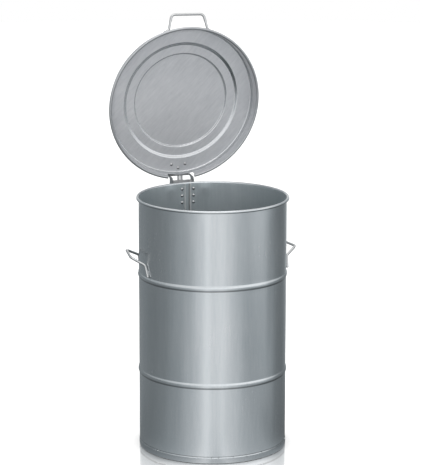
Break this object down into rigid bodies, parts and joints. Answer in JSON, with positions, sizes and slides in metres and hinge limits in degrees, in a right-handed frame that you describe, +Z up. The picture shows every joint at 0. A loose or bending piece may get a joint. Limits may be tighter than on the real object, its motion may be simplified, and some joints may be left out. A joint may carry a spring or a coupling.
{
  "type": "trash can with hinged lid",
  "caption": "Round galvanized steel trash can with rolling hoops, wire handles and a stepped lid hinged at the back, stored open.",
  "frame": {"origin": "on the can's axis at floor level", "axes": "+Z up, +Y towards the hinge, +X towards the right handle"},
  "size_m": [0.4483, 0.4683, 1.103],
  "materials": {
    "galvanized_sheet": "satin galvanized sheet",
    "galvanized_wire": "bright galvanized wire",
    "zinc_plated_plate": "satin zinc-plated plate",
    "steel_fasteners": "satin zinc-plated steel"
  },
  "bodies": {
    "can": {"body_shell": "galvanized_sheet", "rim_wire": "galvanized_wire", "bottom_pan": "galvanized_sheet", "base_ring": "galvanized_sheet", "handle_left": "galvanized_wire", "handle_right": "galvanized_wire", "hinge_bracket": "zinc_plated_plate", "bracket_rivets": "steel_fasteners", "hinge_pin": "steel_fasteners", "hinge_washers": "zinc_plated_plate"},
    "lid": {"lid_shell": "galvanized_sheet", "lid_rim_wire": "galvanized_wire", "lid_handle": "galvanized_wire", "hinge_leaf": "zinc_plated_plate", "lid_rivets": "steel_fasteners"}
  },
  "joints": [
    {"name": "lid_hinge", "type": "hinge", "parent": "can", "child": "lid", "pos_m": [0, 0.2405, 0.6235], "axis": [1, 0, 0], "range_deg": [0, 82]}
  ]
}
